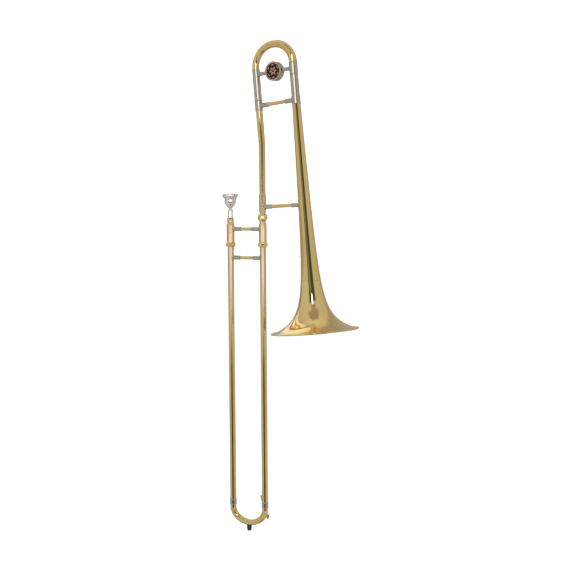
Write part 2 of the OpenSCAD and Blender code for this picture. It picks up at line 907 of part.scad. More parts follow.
module tuning_brace() {
    stub_r = 5.2;
    rest = leg_gap / 2 - weight_r; // from each leg's axis to the counterweight
    color(nickel) leaning() translate([0, 0, weight_s]) difference() {
        union() {
            rotate([0, 90, 0]) cylinder(r = stub_r, h = rest + 2);
            translate([leg_gap, 0, 0]) rotate([0, -90, 0]) cylinder(r = stub_r, h = rest + 2);
        }
        cylinder(r = crook_sleeve_r, h = 40, center = true);
        translate([leg_gap, 0, 0]) cylinder(r = 10, h = 40, center = true);
        translate([leg_gap / 2, 0, 0]) rotate([90, 0, 0])
            cylinder(r = weight_r, h = 40, center = true, $fn = 120);
    }
}

// The weight's own frame: Z points out of its decorated face, towards -Y
module at_weight() {
    leaning() translate([leg_gap / 2, 0, weight_s]) rotate([90, 0, 0]) children();
}

module counterweight() {
    half = weight_t / 2;
    color(nickel) at_weight() difference() {
        union() {
            cone(weight_r - 0.8, weight_r, -half, -half + 0.8);
            cylinder(r = weight_r, h = weight_t - 1.6, center = true, $fn = 120);
            cone(weight_r, weight_r - 0.8, half - 0.8, half);
        }
        cone(weight_r - 1.6, weight_r - 1.6, half - 1.2, half + past);
    }
}

module weight_ring() {
    half = weight_t / 2;
    color("#b06a3c") at_weight() pipe(weight_r - 1.6, weight_r - 4.2, half - 1.2, half);
}

module weight_face() {
    half = weight_t / 2;
    color("#15181f") at_weight() cone(weight_r - 4.2, weight_r - 4.2, half - 1.2, half - 0.4);
}

mouthpiece();
mouthpiece_receiver();
leadpipe();
inner_tube_mouthpiece_side();
inner_tube_bell_side();
stockings();
cork_barrel_mouthpiece_side();
cork_barrel_bell_side();
cork_bumpers();
grip_brace_tube();
grip_brace_sockets();
bell_receiver();
slide_lock_ring();
outer_tube_mouthpiece_side();
outer_tube_bell_side();
outer_end_rings();
outer_brace_tube();
outer_brace_sockets();
outer_brace_flanges();
bow_ferrules();
slide_bow();
lock_pin();
bumper_stud();
rubber_bumper();
water_key_saddle();
water_key_nipple();
water_key_screw();
water_key_spring();
water_key_lever();
water_key_cork();
bell_lock_nut();
bell_tenon();
neckpipe();
neckpipe_ring();
neckpipe_sleeve();
neck_ferrule();
neck_slide_leg();
lower_brace_tube();
lower_brace_sockets();
bell_flange();
upper_brace_tube();
upper_brace_sockets();
bell_ferrule();
bell_sleeve();
bell();
bell_rim_wire();
tuning_crook();
crook_sleeve();
crook_ferrule();
crook_slide_leg();
tuning_brace();
counterweight();
weight_ring();
weight_face();
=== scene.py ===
"""The looks of a straight tenor trombone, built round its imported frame.

Everything is in metres in the frame's own axes: +Z up, the hand slide in the XZ plane. The visible
metalwork is remade here as smooth turned, swept and knurled pieces, placed and sized from the frame.
"""
import json
import math

import bmesh
import bpy
from mathutils import Matrix, Vector


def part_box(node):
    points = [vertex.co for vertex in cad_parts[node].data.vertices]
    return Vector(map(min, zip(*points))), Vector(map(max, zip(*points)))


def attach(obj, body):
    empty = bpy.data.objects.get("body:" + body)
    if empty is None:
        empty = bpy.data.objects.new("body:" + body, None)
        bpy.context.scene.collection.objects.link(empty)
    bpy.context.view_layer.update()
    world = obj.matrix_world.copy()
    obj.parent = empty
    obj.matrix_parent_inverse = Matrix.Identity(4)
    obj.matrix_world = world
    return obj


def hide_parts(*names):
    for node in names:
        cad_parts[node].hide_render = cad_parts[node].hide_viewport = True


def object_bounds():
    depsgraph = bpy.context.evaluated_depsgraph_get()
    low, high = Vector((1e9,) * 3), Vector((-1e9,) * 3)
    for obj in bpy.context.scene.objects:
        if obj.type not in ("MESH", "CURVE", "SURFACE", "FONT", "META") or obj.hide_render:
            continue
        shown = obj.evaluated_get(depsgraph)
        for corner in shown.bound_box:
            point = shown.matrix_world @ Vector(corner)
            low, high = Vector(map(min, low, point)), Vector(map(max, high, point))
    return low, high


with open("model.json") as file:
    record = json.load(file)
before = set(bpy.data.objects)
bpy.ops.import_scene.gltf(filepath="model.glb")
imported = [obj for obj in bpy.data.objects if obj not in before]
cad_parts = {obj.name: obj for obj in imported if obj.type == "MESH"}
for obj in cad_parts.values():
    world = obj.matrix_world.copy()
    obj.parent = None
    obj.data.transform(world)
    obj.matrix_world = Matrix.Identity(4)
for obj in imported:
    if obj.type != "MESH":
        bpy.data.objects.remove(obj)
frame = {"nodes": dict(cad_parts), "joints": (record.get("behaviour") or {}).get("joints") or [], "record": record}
cad_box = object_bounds()

MM = 0.001
INSET = 0.1 * MM  # keeps the roundest pieces inside the frame's own box
JOINTS = {joint["name"]: joint for joint in frame["joints"]}


# ---------- Places ----------

def centre(node):
    low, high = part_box(node)
    return (low + high) / 2


def axes(x, y, z, origin):
    """A place: its X, Y and Z directions and its origin."""
    return Matrix.Translation(origin) @ Matrix((x, y, z)).transposed().to_4x4()


UP = Vector((0, 0, 1))
LEAN = Vector(JOINTS["tuning_slide_travel"]["axis"]).normalized()
TOWARD_BELL = Vector((-LEAN.x, -LEAN.y, 0)).normalized()
ACROSS = UP.cross(TOWARD_BELL)
OUT = ACROSS.cross(LEAN)

MOUTH_TUBE = Matrix.Translation((centre("outer_tube_mouthpiece_side").x, 0, 0))
BELL_TUBE = Matrix.Translation((centre("outer_tube_bell_side").x, 0, 0))
NECK = axes(TOWARD_BELL, ACROSS, UP, BELL_TUBE.translation)
NECK_LEG = axes(OUT, ACROSS, LEAN, centre("neck_slide_leg"))
BELL_LEG = axes(OUT, ACROSS, LEAN, centre("bell_sleeve"))
ALONG_X = Matrix.Rotation(math.radians(90), 4, "Y")
HERE = Matrix.Identity(4)


def span(node, place):
    """Lowest and highest corner of a frame node in a place's own axes."""
    back = place.inverted()
    points = [back @ v.co for v in frame["nodes"][node].data.vertices]
    low = Vector([min(p[i] for p in points) for i in range(3)])
    high = Vector([max(p[i] for p in points) for i in range(3)])
    return low, high


def reach(node, place):
    """Radius, bottom and top of a round node in a place's own axes."""
    low, high = span(node, place)
    return high.y, low.z, high.z


def height_of(node, place):
    """Height of a node's middle in a place's own axes."""
    low, high = span(node, place)
    return (low.z + high.z) / 2


def raised(place, height):
    return place @ Matrix.Translation((0, 0, height))


def opposite(place, gap):
    """The place a gap away along X, turned to face back."""
    return place @ Matrix.Translation((gap, 0, 0)) @ Matrix.Rotation(math.pi, 4, "Z")


# ---------- Materials ----------

def feed(tree, node, inputs):
    """Sets a node's inputs, each to a value or to another node's output."""
    for key, value in inputs.items():
        if isinstance(value, bpy.types.NodeSocket):
            tree.links.new(value, node.inputs[key])
        else:
            node.inputs[key].default_value = value


def add(tree, kind, inputs, **settings):
    """Adds a shader node with its settings and inputs."""
    node = tree.nodes.new("ShaderNode" + kind)
    for key, value in settings.items():
        setattr(node, key, value)
    feed(tree, node, inputs)
    return node


def maths(tree, operation, *values):
    return add(tree, "Math", dict(enumerate(values)), operation=operation).outputs["Value"]


def mapped(tree, value, before, after=(0, 1), **settings):
    """Maps a value from one range to another."""
    return add(tree, "MapRange", {
        "Value": value, "From Min": before[0], "From Max": before[1],
        "To Min": after[0], "To Max": after[1]}, **settings).outputs["Result"]


def mixed(tree, factor, under, colour):
    """Lays a colour over another by a factor."""
    return add(tree, "Mix", {"Factor": factor, "A": under, "B": (*colour, 1)},
               data_type="RGBA").outputs["Result"]


def ramp(tree, source, stops):
    """A colour ramp with (place, colour) stops."""
    node = add(tree, "ValToRGB", {"Fac": source})
    band = node.color_ramp
    while len(band.elements) < len(stops):
        band.elements.new(0.5)
    for element, (place, colour) in zip(band.elements, stops):
        element.position = place
        element.color = (*colour, 1)
    return node.outputs["Color"]


def noise_at(tree, scale, stretch=(1, 1, 1), detail=4.0, rough=0.55):
    """Noise in the object's own space, in features per metre."""
    where = add(tree, "TexCoord", {}).outputs["Object"]
    mapping = add(tree, "Mapping", {"Vector": where, "Scale": stretch})
    return add(tree, "TexNoise", {
        "Vector": mapping.outputs["Vector"], "Scale": scale, "Detail": detail,
        "Roughness": rough}).outputs["Fac"]


def bump(tree, source, distance, strength):
    return add(tree, "Bump", {
        "Height": source, "Distance": distance, "Strength": strength}).outputs["Normal"]


def new_material(name):
    material = bpy.data.materials.new(name)
    material.use_nodes = True
    return material, material.node_tree, material.node_tree.nodes["Principled BSDF"]


NOISE_RANGE = (0.3, 0.7)  # where nearly all of the noise lies


def metal(name, tones, rough, polish_scale=900.0, stretch=(1, 1, 0.12), coat=0.0, grain=0.006):
    """Polished metal: cloudy tone, hazy polish and fine drawn lines along Z."""
    material, tree, shader = new_material(name)
    clouds = noise_at(tree, 26.0, stretch, 5.0)
    haze = noise_at(tree, 140.0, stretch, 6.0, 0.65)
    lines = noise_at(tree, polish_scale, stretch, 2.0)
    feed(tree, shader, {
        "Metallic": 1.0, "Coat Weight": coat, "Coat Roughness": 0.04,
        "Base Color": ramp(tree, clouds, list(zip((0.3, 0.5, 0.7), tones))),
        "Roughness": mapped(tree, haze, NOISE_RANGE, rough),
        "Normal": bump(tree, lines, 0.01 * MM, grain)})
    return material


def dull(name, stops, rough, scales, relief, strength, detail=4.0, specular=0.5):
    """Enamel, rubber or cork: a mottled tone and roughness, and fine bumps."""
    material, tree, shader = new_material(name)
    mottle, grain = (noise_at(tree, scale, detail=detail) for scale in scales)
    feed(tree, shader, {
        "Base Color": ramp(tree, mottle, stops), "Roughness": mapped(tree, mottle, NOISE_RANGE, rough),
        "Specular IOR Level": specular, "Normal": bump(tree, grain, relief, strength)})
    return material


def bell_brass():
    """The bell's lacquered brass, with its solder seam drawn from the height stored in the mesh."""
    material = metal("bell_brass", BRASS_TONES, (0.05, 0.12), coat=0.3)
    tree = material.node_tree
    shader = tree.nodes["Principled BSDF"]
    height = add(tree, "Attribute", {}, attribute_name="from_rim").outputs["Fac"]
    away = maths(tree, "ABSOLUTE", maths(tree, "SUBTRACT", height, SEAM_FROM_RIM))
    seam = mapped(tree, away, (0.5 * MM, 1.3 * MM), (0.4, 0.0))
    brass = shader.inputs["Base Color"].links[0].from_socket
    feed(tree, shader, {"Base Color": mixed(tree, seam, brass, (0.62, 0.36, 0.08))})
    return material


BRASS_TONES = ((0.74, 0.52, 0.2), (0.8, 0.58, 0.24), (0.86, 0.65, 0.29))
GOLD_TONES = ((0.84, 0.58, 0.2), (0.9, 0.65, 0.26), (0.95, 0.72, 0.33))
NICKEL_TONES = ((0.46, 0.425, 0.35), (0.51, 0.475, 0.4), (0.57, 0.53, 0.45))
SILVER_TONES = ((0.84, 0.81, 0.75), (0.89, 0.86, 0.8), (0.94, 0.92, 0.87))
CHROME_TONES = ((0.58, 0.58, 0.58), (0.66, 0.66, 0.67), (0.73, 0.73, 0.75))
STEEL_TONES = ((0.22, 0.22, 0.24), (0.3, 0.3, 0.32), (0.4, 0.4, 0.42))
COPPER_TONES = ((0.62, 0.31, 0.17), (0.74, 0.4, 0.23), (0.84, 0.5, 0.3))
ENAMEL_STOPS = ((0.35, (0.003, 0.004, 0.007)), (0.7, (0.012, 0.015, 0.024)))
RUBBER_STOPS = ((0.3, (0.012, 0.011, 0.011)), (0.75, (0.04, 0.038, 0.036)))
CORK_STOPS = ((0.32, (0.05, 0.025, 0.012)), (0.46, (0.22, 0.12, 0.055)), (0.7, (0.4, 0.24, 0.12)))
SEAM_FROM_RIM = 117 * MM

MATERIALS = {
    "lacquered_brass": metal("lacquered_brass", BRASS_TONES, (0.06, 0.15), coat=0.3),
    "polished_brass": metal("polished_brass", GOLD_TONES, (0.06, 0.14), coat=0.2),
    "nickel_silver": metal("nickel_silver", NICKEL_TONES, (0.05, 0.11), polish_scale=1500.0, grain=0.0015),
    "silver_plate": metal("silver_plate", SILVER_TONES, (0.04, 0.1)),
    "chrome_tube": metal("chrome_tube", CHROME_TONES, (0.08, 0.16)),
    "spring_steel": metal("spring_steel", STEEL_TONES, (0.22, 0.38)),
    "copper": metal("copper", COPPER_TONES, (0.18, 0.3), stretch=(1, 1, 1)),
    "black_enamel": dull("black_enamel", ENAMEL_STOPS, (0.06, 0.16), (90, 500), 0.02 * MM, 0.2,
                         specular=0.25),
    "black_rubber": dull("black_rubber", RUBBER_STOPS, (0.5, 0.78), (240, 2600), 0.1 * MM, 0.45),
    "cork": dull("cork", CORK_STOPS, (0.7, 0.95), (900, 900), 0.4 * MM, 0.6, detail=6.0),
}


# ---------- Mesh tools ----------

TINY = 1e-9


def new_object(name, data):
    thing = bpy.data.objects.new(name, data)
    bpy.context.scene.collection.objects.link(thing)
    return thing


def finish_mesh(name, bm, place=HERE, crisp=38):
    """Turns a bmesh into an object, smooth but for edges over "crisp" degrees."""
    bm.transform(place)
    bmesh.ops.recalc_face_normals(bm, faces=bm.faces)
    mesh = bpy.data.meshes.new(name)
    bm.to_mesh(mesh)
    bm.free()
    for polygon in mesh.polygons:
        polygon.use_smooth = True
    mesh.set_sharp_from_angle(angle=math.radians(crisp))
    return new_object(name, mesh)


def body_with(node):
    bodies = frame["record"]["behaviour"]["bodies"]
    return next(body for body, members in bodies.items() if node in members)


SLOTS = {entry["node"]: entry["material_slot"] for entry in frame["record"]["subparts"]}


def dress(piece, node, *more, material=None, stands=True):
    """Makes a piece ride with a node's body, in its slot and material, and stand for that node."""
    slot = SLOTS[node]
    piece.data.materials.append(material or MATERIALS[slot])
    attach(piece, body_with(node))
    if stands:
        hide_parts(node, *more)


def bend(start, corner, end, steps):
    """A smooth turn from start to end, drawn towards the corner between them."""
    shares = [step / steps for step in range(steps + 1)]
    return [start.lerp(corner, t).lerp(corner.lerp(end, t), t) for t in shares]


def rounded(points, radius, closed):
    """Rounds the corners of an outline of (r, z) points, but for nearly straight ones."""
    out = []
    count = len(points)
    for i, point in enumerate(points):
        here = Vector(point)
        before = Vector(points[i - 1]) - here
        after = Vector(points[(i + 1) % count]) - here
        is_end = not closed and i in (0, count - 1)
        straight = before.normalized().dot(after.normalized()) < -0.97
        if is_end or straight or min(before.length, after.length) < TINY:
            out.append(point)
            continue
        start = here + before.normalized() * min(radius, before.length * 0.45)
        end = here + after.normalized() * min(radius, after.length * 0.45)
        out += [tuple(mid) for mid in bend(start, here, end, 3)]
    return out


def braced(points, closed):
    """Adds a point near each end of a long straight, so that its shading stays straight."""
    near = 0.2 * MM
    out = []
    count = len(points)
    for i, point in enumerate(points):
        out.append(point)
        if not closed and i == count - 1:
            break
        here, there = Vector(point), Vector(points[(i + 1) % count])
        length = (there - here).length
        if length > 5 * near:
            out += [tuple(here.lerp(there, near / length)), tuple(there.lerp(here, near / length))]
    return out


def smooth_line(points, steps):
    """A smooth curve through points (Catmull-Rom)."""
    knots = [Vector(p) for p in points]
    knots = [knots[0] * 2 - knots[1], *knots, knots[-1] * 2 - knots[-2]]
    out = []
    for i in range(1, len(knots) - 2):
        a, b, c, d = knots[i - 1:i + 3]
        for step in range(steps):
            t = step / steps
            out.append(0.5 * (b * 2 + (c - a) * t + (a * 2 - b * 5 + c * 4 - d) * t * t
                              + (b * 3 - a - c * 3 + d) * t ** 3))
    out.append(knots[-2])
    return out


def arc(middle, size, start, stop, steps):
    """Outline points along an ellipse, from one angle to another in degrees."""
    angles = [math.radians(start + (stop - start) * step / steps) for step in range(steps + 1)]
    return [(middle[0] + size[0] * math.cos(a), middle[1] + size[1] * math.sin(a)) for a in angles]


def round_angles(count):
    return [2 * math.pi * k / count for k in range(count)]


def skin(bm, rings, closed=False):
    """Joins each ring of points to the next. A ring of one point is a pole."""
    pairs = list(zip(rings, rings[1:]))
    if closed:
        pairs.append((rings[-1], rings[0]))
    for low, high in pairs:
        sides = max(len(low), len(high))
        for k in range(sides):
            n = (k + 1) % sides
            corners = (low[k % len(low)], low[n % len(low)], high[n % len(high)], high[k % len(high)])
            corners = list(dict.fromkeys(corners))
            if len(corners) > 2:
                bm.faces.new(corners)


def turn(bm, outline, sides=96, closed=True, ripple=None):
    """Revolves (r, z) points round Z. An open outline starts and ends on the axis."""
    rings = []
    for r, z in outline:
        if r < TINY:
            rings.append([bm.verts.new((0, 0, z))])
            continue
        ring = []
        for a in round_angles(sides):
            q = r + (ripple(a, r, z) if ripple else 0)
            ring.append(bm.verts.new((q * math.cos(a), q * math.sin(a), z)))
        rings.append(ring)
    skin(bm, rings, closed)
    return rings


def turned(name, outline, place, fillet=0.25 * MM, sides=96, closed=True, ripple=None):
    bm = bmesh.new()
    outline = rounded(outline, fillet, closed) if fillet else outline
    turn(bm, braced(outline, closed), sides, closed, ripple)
    return finish_mesh(name, bm, place)


def sleeve(bore, radius, bottom, top, beads=()):
    """The outline of a tube with half-round beads: (height, size, half length)."""
    points = [(bore, bottom), (radius, bottom)]
    for z, size, half in sorted(beads):
        points += arc((radius, z), (size, half), -90, 90, 8)
    return points + [(radius, top), (bore, top)]


def swept(name, path, radii, sides, place=HERE):
    """A round rod along a path of points, with a radius at each."""
    bm = bmesh.new()
    rings = []
    side = None
    for i, point in enumerate(path):
        tangent = (path[min(i + 1, len(path) - 1)] - path[max(i - 1, 0)]).normalized()
        if side is None:
            side = tangent.cross(UP)
            side = side if side.length > 0.1 else tangent.cross(Vector((0, 1, 0)))
        side = (side - tangent * side.dot(tangent)).normalized()
        other = tangent.cross(side)
        rings.append([bm.verts.new(point + (side * math.cos(a) + other * math.sin(a)) * radii[i])
                      for a in round_angles(sides)])
    skin(bm, rings)
    bm.faces.new(list(reversed(rings[0])))
    bm.faces.new(rings[-1])
    return finish_mesh(name, bm, place)


def arc_path(middle, size, start, stop, steps):
    """Points along an ellipse in the XZ plane."""
    return [Vector((x, 0, z)) for x, z in arc(middle, size, start, stop, steps)]


def join(name, pieces):
    """Joins a group of small solids into one piece."""
    bm = bmesh.new()
    for piece in pieces:
        bm.from_mesh(piece.data)
        bpy.data.objects.remove(piece)
    return finish_mesh(name, bm)


def cut(piece, cutter):
    """Takes the cutter's shape out of a piece."""
    tool = piece.modifiers.new("cut", "BOOLEAN")
    tool.operation = "DIFFERENCE"
    tool.solver = "EXACT"
    tool.object = cutter
    bpy.context.view_layer.update()
    shaped = bpy.data.meshes.new_from_object(piece.evaluated_get(bpy.context.evaluated_depsgraph_get()))
    piece.modifiers.clear()
    piece.data = shaped
    bpy.data.objects.remove(cutter)
    return piece


# ---------- Hand slide ----------

OUTER_R = reach("outer_tube_bell_side", BELL_TUBE)[0]
INNER_R = reach("inner_tube_bell_side", BELL_TUBE)[0]
BARREL_R, _bottom, BARREL_TOP = reach("cork_barrel_mouthpiece_side", MOUTH_TUBE)
SLIDE_SIDES = (("mouthpiece_side", MOUTH_TUBE), ("bell_side", BELL_TUBE))
TUBE_WALL = 0.4 * MM
CORK_GAP = 0.15 * MM  # what the slide leaves free when it is pressed home
BEAD_CORE = 8 * MM  # the ellipse that the beads are swept from is centred this far out
BEAD_HALF = 6.4 * MM
BARREL_BORE = 7.95 * MM
PIN_SLOT = 3 * MM
BOW_CORNER_R = 32 * MM
BOW_TURN = 55  # degrees that each corner of the bow turns through
BOW_LEAD = 4.7 * MM  # its straight ends
BOW_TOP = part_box("slide_bow")[1].z
BOW_CORNER = Vector((BELL_TUBE.translation.x - BOW_CORNER_R, 0, BOW_TOP - BOW_LEAD))
SOCKET_FOOT = 0.7 * MM  # how far a brace socket's foot spreads
PLATE = 0.6 * MM  # how thick the outer brace's diamond plates are
GRIP_BAND = 0.972  # where the lock nut's round side gives way to its flat band
GRIP_SHOWN = 28 * MM  # the brass that shows between the grip sockets, a mount of the frame


def outer_slide_tubes():
    for side, place in SLIDE_SIDES:
        node = "outer_tube_" + side
        radius, bottom, top = reach(node, place)
        outline = sleeve(radius - TUBE_WALL, radius, bottom, top - CORK_GAP)
        dress(turned("slide_tube_" + side, outline, place, fillet=0.1 * MM), node)


def end_rings():
    """The rings at the top of the outer tubes and the ferrules at the bow."""
    bead = 0.5 * MM
    rings, ferrules = [], []
    for _side, place in SLIDE_SIDES:
        low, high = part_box("outer_end_rings")
        rings.append(turned("ring", sleeve(OUTER_R, high.y, low.z, high.z), place))
        low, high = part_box("bow_ferrules")
        beads = [(z, bead, 0.8 * MM) for z in (low.z + 1.3 * MM, high.z - 1.3 * MM)]
        outline = sleeve(OUTER_R, high.y - bead, low.z, high.z, beads)
        ferrules.append(turned("ferrule", outline, place, fillet=0.12 * MM))
    dress(join("tube_end_rings", rings), "outer_end_rings")
    dress(join("bow_ferrule_pair", ferrules), "bow_ferrules")


def slide_bow():
    """A bow with straight ends, two corners and a flatter bottom."""
    turn_by = math.radians(BOW_TURN)
    x, z = BOW_CORNER.x, BOW_CORNER.z
    bottom = (0, z + x * math.tan(turn_by))
    corner_size = (BOW_CORNER_R, BOW_CORNER_R)
    bottom_size = (BOW_CORNER_R + x / math.cos(turn_by),) * 2
    path = arc_path((-x, z), corner_size, 180, 180 + BOW_TURN, 24)
    path += arc_path(bottom, bottom_size, 180 + BOW_TURN, 360 - BOW_TURN, 32)[1:]
    path += arc_path((x, z), corner_size, 360 - BOW_TURN, 360, 24)[1:]
    path = [Vector((path[0].x, 0, BOW_TOP)), *path, Vector((path[-1].x, 0, BOW_TOP))]
    dress(swept("bow", path, [OUTER_R] * len(path), sides=64), "slide_bow")


def bead_outline(radius, middle):
    """A cork barrel's round bead."""
    return arc((BEAD_CORE, middle), (radius - BEAD_CORE, BEAD_HALF), -90, 90, 32)


def barrel(side, place, foot, top):
    """A cork barrel above the points of its foot: a side with a groove, the top and the bore."""
    groove = 0.35 * MM
    z = top - 2.6 * MM
    edge = 0.8 * MM
    bore_top = top - 17 * MM
    outline = foot + [(BARREL_R, z - groove), (BARREL_R - groove * 0.7, z), (BARREL_R, z + groove),
                      (BARREL_R, top - edge), (BARREL_R - edge, top), (INNER_R, top),
                      (INNER_R, bore_top), (BARREL_BORE, bore_top)]
    return turned("barrel_" + side, outline, place, fillet=0.15 * MM)


def box_cutter(low, high, place):
    bm = bmesh.new()
    low, high = Vector(low), Vector(high)
    shape = Matrix.Translation((low + high) / 2) @ Matrix.Diagonal((*(high - low), 1))
    bmesh.ops.create_cube(bm, size=1, matrix=shape)
    return finish_mesh("cutter", bm, place)


def cork_barrels():
    """The bell side's barrel has its bead; the other has the lock pin's slot, under the lock ring."""
    bead_r, bottom, top = reach("cork_barrel_bell_side", BELL_TUBE)
    start = [(BARREL_BORE, bottom + 1 * MM)]
    middle = bottom + BEAD_HALF
    bead = [(r, z) for r, z in bead_outline(bead_r, middle) if z <= middle or r >= BARREL_R]
    dress(barrel("bell_side", BELL_TUBE, start + bead, top), "cork_barrel_bell_side")
    plain = [(BEAD_CORE, bottom), (BARREL_R - 0.4 * MM, bottom + 2.5 * MM), (BARREL_R, bottom + 4 * MM)]
    slot = pin_way(bottom, bottom + BEAD_HALF - 1.5 * MM)
    dress(cut(barrel("mouthpiece_side", MOUTH_TUBE, start + plain, top), slot), "cork_barrel_mouthpiece_side")


def pin_way(bottom, top):
    """The cutter for the lock pin's way in, up to a height."""
    return box_cutter((0, -PIN_SLOT / 2, bottom - PIN_SLOT), (2 * BARREL_R, PIN_SLOT / 2, top), MOUTH_TUBE)


def lock_ring():
    """The ring that looks like the other barrel's bead, with the pin's way in and its sideways leg."""
    radius, bottom, top = reach("slide_lock_ring", MOUTH_TUBE)
    bore = BARREL_R + 0.06 * MM
    middle = (bottom + top) / 2
    bead = [(r, z) for r, z in bead_outline(radius, middle) if r > bore]
    ring = turned("lock_ring", [(bore, bottom), *bead, (bore, top)], MOUTH_TUBE, fillet=0)
    leg_top = middle - 1.5 * MM
    way = pin_way(bottom, leg_top - PIN_SLOT / 2)
    dress(cut(cut(ring, way), leg_cutter(leg_top - PIN_SLOT, leg_top)), "slide_lock_ring")


def leg_cutter(low, high):
    """A wedge of a turn: the sideways leg of the lock ring's slot."""
    bm = bmesh.new()
    near, far = 6 * MM, 20 * MM
    corners = ((near, low), (far, low), (far, high), (near, high))
    start, stop, steps = math.radians(-35), math.radians(10), 12
    angles = [start + (stop - start) * step / steps for step in range(steps + 1)]
    rings = [[bm.verts.new((r * math.cos(a), r * math.sin(a), z)) for r, z in corners] for a in angles]
    skin(bm, rings)
    bm.faces.new(rings[0])
    bm.faces.new(list(reversed(rings[-1])))
    return finish_mesh("cutter", bm, MOUTH_TUBE)


def brace_socket(tube_r, length, r, place, sink=0.05 * MM):
    """A socket along X whose foot follows the tube that it stands on."""
    bm = bmesh.new()
    foot = r + SOCKET_FOOT
    end = tube_r + length
    lip = r + 0.22 * MM
    followers = [(foot * share, -sink) for share in (0.25, 0.5, 0.75, 0.9, 1)]
    followers += [(r + SOCKET_FOOT * share, height * MM) for share, height in (
        (1, 0.55), (0.8, 0.8), (0.3, 1.3), (0.06, 1.9), (0, 2.5))]
    flats = [(r, tube_r + 3.4 * MM)] + [(q, end - back * MM) for q, back in (
        (r, 3.7), (r, 3.4), (lip, 3.0), (lip, 2.4), (r, 2.0), (r, 1.5), (r - 0.25 * MM, 0.9),
        (r - 0.7 * MM, 0.15), (r - 0.85 * MM, 0))]
    rings = [[bm.verts.new((tube_r - sink, 0, 0))]]
    for index, (q, x) in enumerate(followers + flats):
        ring = []
        for a in round_angles(56):
            y, z = q * math.cos(a), q * math.sin(a)
            on_tube = math.sqrt(max(tube_r ** 2 - y ** 2, 0)) if index < len(followers) else 0
            ring.append(bm.verts.new((on_tube + x, y, z)))
        rings.append(ring)
    skin(bm, rings + [[bm.verts.new((end, 0, 0))]])
    return finish_mesh("socket", bm, place)


def brace(name, place, tube_a, tube_b, gap, length, socket_r, rod_r, sink=0.05 * MM):
    """A brace along X from a tube at the place to another tube "gap" away."""
    ends = [brace_socket(tube_a, length, socket_r, place, sink),
            brace_socket(tube_b, length, socket_r, opposite(place, gap), sink)]
    dress(join(name + "_sockets_turned", ends), name + "_sockets")
    start, stop = tube_a + length - 2 * MM, gap - tube_b - length + 2 * MM
    outline = [(0, start), (rod_r, start), (rod_r, stop), (0, stop)]
    rod = turned(name + "_tube_rod", outline, place @ ALONG_X, fillet=0, sides=64, closed=False)
    dress(rod, name + "_tube")


def slide_braces():
    gap = BELL_TUBE.translation.x - MOUTH_TUBE.translation.x
    rod_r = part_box("grip_brace_tube")[1].z
    socket_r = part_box("grip_brace_sockets")[1].z - SOCKET_FOOT
    length = gap / 2 - BARREL_R - GRIP_SHOWN / 2
    brace("grip_brace", MOUTH_TUBE, BARREL_R, BARREL_R, gap, length, socket_r, rod_r)
    place = raised(MOUTH_TUBE, centre("outer_brace_tube").z)
    on_plate = OUTER_R + PLATE
    socket_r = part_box("outer_brace_sockets")[1].y - SOCKET_FOOT
    brace("outer_brace", place, on_plate, on_plate, gap, 18.4 * MM, socket_r, rod_r)


def diamond(name, node, place, facing, surface, thick, gap):
    """A thin diamond plate bent round a tube; surface(z) is the tube's radius at a height."""
    low, high = span(node, place)
    half_height, half_width = (high.z - low.z) / 2, high.y - gap
    rows, columns = 36, 14
    tip = 0.35 * MM  # half the width of the plate's blunt tips
    bevel = 0.5 * MM
    bm = bmesh.new()
    outer, inner = [], []
    for i in range(rows + 1):
        v = -1 + 2 * i / rows
        z = v * half_height
        width = half_width * (1 - abs(v)) ** 0.85 + tip
        for skin_points, outside in ((outer, True), (inner, False)):
            line = []
            for j in range(columns + 1):
                u = -1 + 2 * j / columns
                edge = min(1, (1 - abs(u)) * width / bevel) * min(1, (1 - abs(v)) * 14)
                r = surface(z) + (thick * (0.45 + 0.55 * edge ** 0.5) if outside else 0)
                a = u * width / surface(z)
                line.append(bm.verts.new((r * math.cos(a), r * math.sin(a), z)))
            skin_points.append(line)
    for grid in (outer, inner):
        for i in range(rows):
            for j in range(columns):
                bm.faces.new((grid[i][j], grid[i][j + 1], grid[i + 1][j + 1], grid[i + 1][j]))
    rim = ([(0, j) for j in range(columns)] + [(i, columns) for i in range(rows)]
           + [(rows, j) for j in range(columns, 0, -1)] + [(i, 0) for i in range(rows, 0, -1)])
    for (i, j), (k, m) in zip(rim, rim[1:] + rim[:1]):
        bm.faces.new((outer[i][j], outer[k][m], inner[k][m], inner[i][j]))
    where = raised(place, (low.z + high.z) / 2) @ Matrix.Rotation(facing, 4, "Z")
    return finish_mesh(name, bm, where)


def slide_flanges():
    node = "outer_brace_flanges"
    plates = [diamond("plate", node, place, facing, lambda z: OUTER_R, PLATE, 0.4 * MM)
              for place, facing in ((MOUTH_TUBE, 0), (BELL_TUBE, math.pi))]
    dress(join("outer_brace_plates", plates), node)


def receiver():
    radius, _bottom, top = reach("mouthpiece_receiver", MOUTH_TUBE)
    bead = 0.5 * MM
    body = radius - bead
    bore = 5.72 * MM
    beads = [(top - 4 * MM, bead, 0.7 * MM), (BARREL_TOP + 2.2 * MM, 0.3 * MM, 0.5 * MM)]
    outline = sleeve(bore, body, BARREL_TOP, top, beads)
    outline[-2] = (body - 0.5 * MM, top)
    dress(turned("receiver_collar", outline, MOUTH_TUBE, fillet=0.3 * MM), "mouthpiece_receiver")


